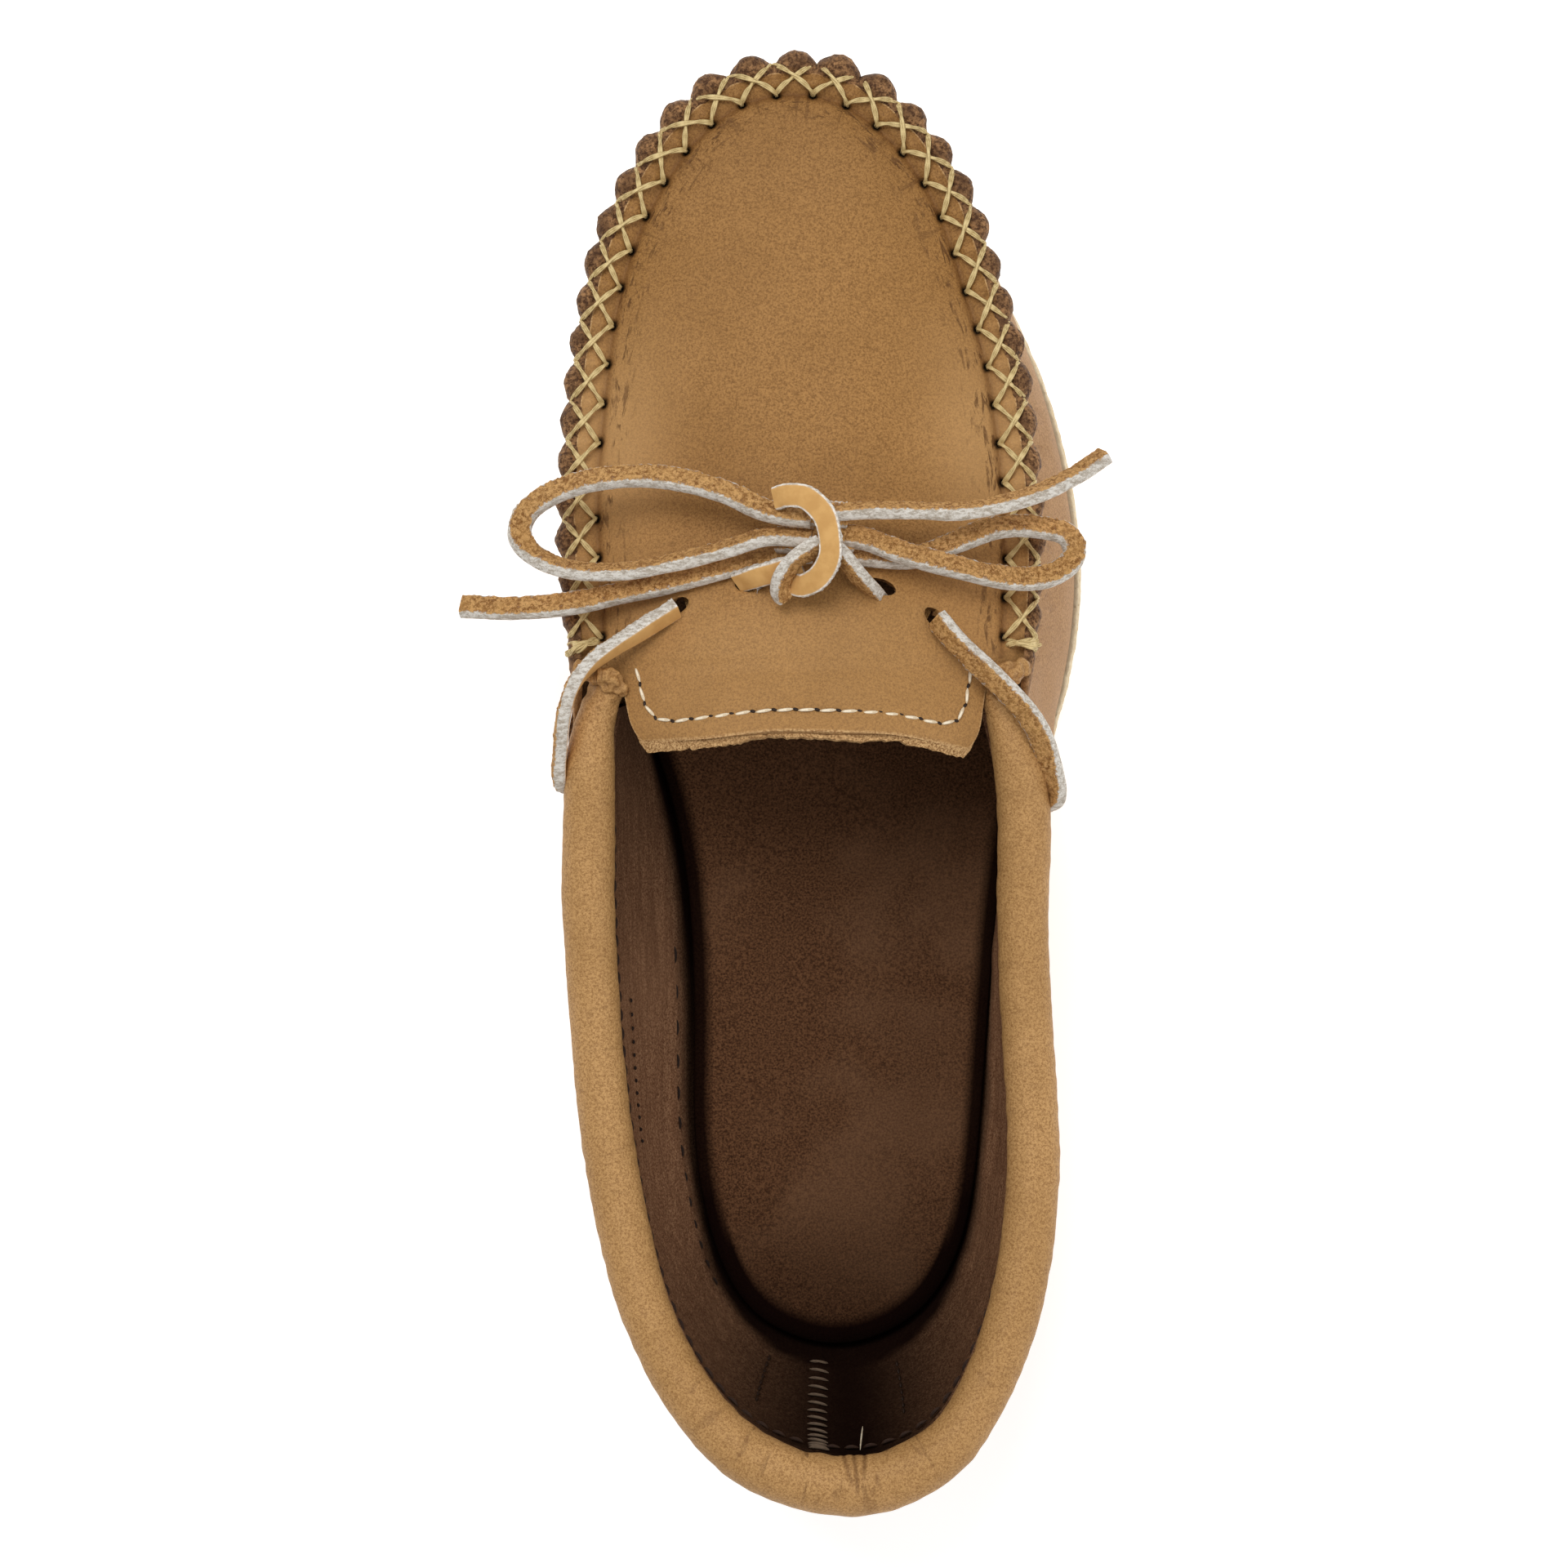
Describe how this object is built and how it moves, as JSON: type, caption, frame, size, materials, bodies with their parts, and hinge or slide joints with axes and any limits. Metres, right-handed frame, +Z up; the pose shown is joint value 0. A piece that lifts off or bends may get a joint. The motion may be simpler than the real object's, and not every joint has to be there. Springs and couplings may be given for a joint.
{
  "type": "moccasin",
  "caption": "Right-foot leather moccasin with a sewn plug, padded collar, crepe sole and a rawhide lace tied in a bow; the tongue and both halves of the bow lift.",
  "frame": {"origin": "middle of the shoe's box without its bow, on the ground under the sole", "axes": "+Y to the toe, +X to the outer side of the right foot, +Z up"},
  "size_m": [0.1245, 0.2812, 0.0714],
  "materials": {
    "crepe": "cream crepe rubber, matt and finely pitted",
    "upper_leather": "tan full-grain leather, soft satin",
    "plug_leather": "tan full-grain leather, soft satin, creased at the seam",
    "collar_leather": "thin tan leather, satin, finely wrinkled",
    "patch_leather": "tan leather, satin",
    "lining_suede": "dark brown suede, matt",
    "footbed_suede": "dark brown brushed suede, matt",
    "foam": "open-cell foam",
    "counter_board": "stiffened fibre board",
    "seam_thread": "thick straw-coloured waxed thread",
    "cream_thread": "cream waxed thread",
    "lace_leather": "rawhide lace, suede on one side"
  },
  "bodies": {
    "shoe": {"outsole": "crepe", "upper": "upper_leather", "plug": "plug_leather", "collar_cover": "collar_leather", "collar_foam": "foam", "quarter_lining": "lining_suede", "heel_counter": "counter_board", "heel_patch": "patch_leather", "insole_foam": "foam", "footbed": "footbed_suede", "plug_seam_thread": "seam_thread", "collar_stitches": "cream_thread", "heel_seam_stitches": "cream_thread", "heel_patch_stitches": "cream_thread", "lace_heel_run": "lace_leather", "lace_left_side": "lace_leather", "lace_right_side": "lace_leather", "lace_left_under": "lace_leather", "lace_right_under": "lace_leather", "bow_knot": "lace_leather"},
    "tongue_flap": {"tongue": "plug_leather", "tongue_lining": "lining_suede", "tongue_stitches": "cream_thread"},
    "bow_left": {"bow_left_loop": "lace_leather", "bow_left_tail": "lace_leather"},
    "bow_right": {"bow_right_loop": "lace_leather", "bow_right_tail": "lace_leather"}
  },
  "joints": [
    {"name": "tongue_lift", "type": "hinge", "parent": "shoe", "child": "tongue_flap", "pos_m": [-0.005, 0.0207, 0.0637], "axis": [-1, 0, 0], "range_deg": [0, 60]},
    {"name": "bow_left_lift", "type": "hinge", "parent": "shoe", "child": "bow_left", "pos_m": [-0.002, 0.045, 0.0636], "axis": [0, 1, 0], "range_deg": [0, 50]},
    {"name": "bow_right_lift", "type": "hinge", "parent": "shoe", "child": "bow_right", "pos_m": [-0.002, 0.045, 0.0636], "axis": [0, -1, 0], "range_deg": [0, 50]}
  ]
}
